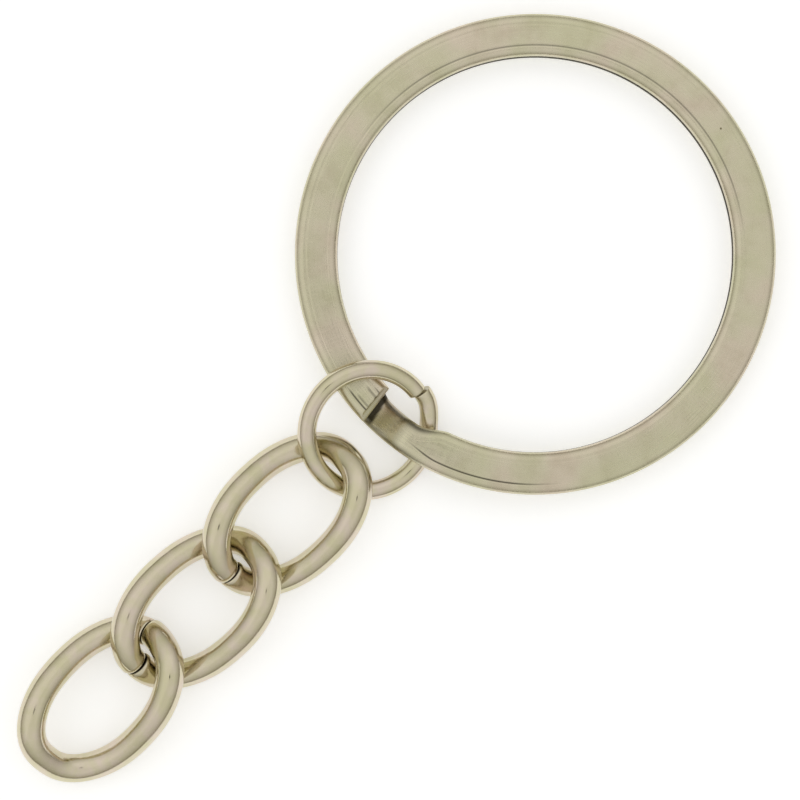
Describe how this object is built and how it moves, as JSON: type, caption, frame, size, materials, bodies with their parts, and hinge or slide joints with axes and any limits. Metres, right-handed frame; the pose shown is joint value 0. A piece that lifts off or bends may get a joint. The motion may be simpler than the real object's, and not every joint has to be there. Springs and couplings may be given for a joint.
{
  "type": "split key ring with chain",
  "caption": "Flat-wire split key ring with a round-wire jump ring and a short twisted curb chain, in nickel-plated steel.",
  "frame": {"origin": "centre of the split ring, in the plane of its back face, which lies flat on the table", "axes": "+Z along the split ring's axis, up from the table towards its front face; the chain runs from the ring along -X; +Y completes the right-handed frame"},
  "size_m": [0.0597, 0.03, 0.0038],
  "materials": {
    "satin_nickel": "nickel-plated steel, satin with fine brushing and small specks",
    "bright_nickel": "nickel-plated steel, tumbled bright"
  },
  "bodies": {
    "split_ring": {"split_ring": "satin_nickel"},
    "jump_ring": {"jump_ring": "bright_nickel"},
    "chain_link_1": {"chain_link_1": "bright_nickel"},
    "chain_link_2": {"chain_link_2": "bright_nickel"},
    "chain_link_3": {"chain_link_3": "bright_nickel"}
  },
  "joints": [
    {"name": "jump_ring_swivel", "type": "hinge", "parent": "split_ring", "child": "jump_ring", "pos_m": [-0.01515, -0.0002, 0.0016], "axis": [1, 0, 0], "range_deg": [0, 110]},
    {"name": "link_1_fold", "type": "hinge", "parent": "jump_ring", "child": "chain_link_1", "pos_m": [-0.0185, -0.0003, 0.00193], "axis": [0, 1, 0], "range_deg": [-34, 16]},
    {"name": "link_2_fold", "type": "hinge", "parent": "chain_link_1", "child": "chain_link_2", "pos_m": [-0.0265, -0.0003, 0.00193], "axis": [0, 1, 0], "range_deg": [-32, 6]},
    {"name": "link_3_fold", "type": "hinge", "parent": "chain_link_2", "child": "chain_link_3", "pos_m": [-0.03465, -0.0002, 0.00193], "axis": [0, 1, 0], "range_deg": [-14, 22]}
  ]
}
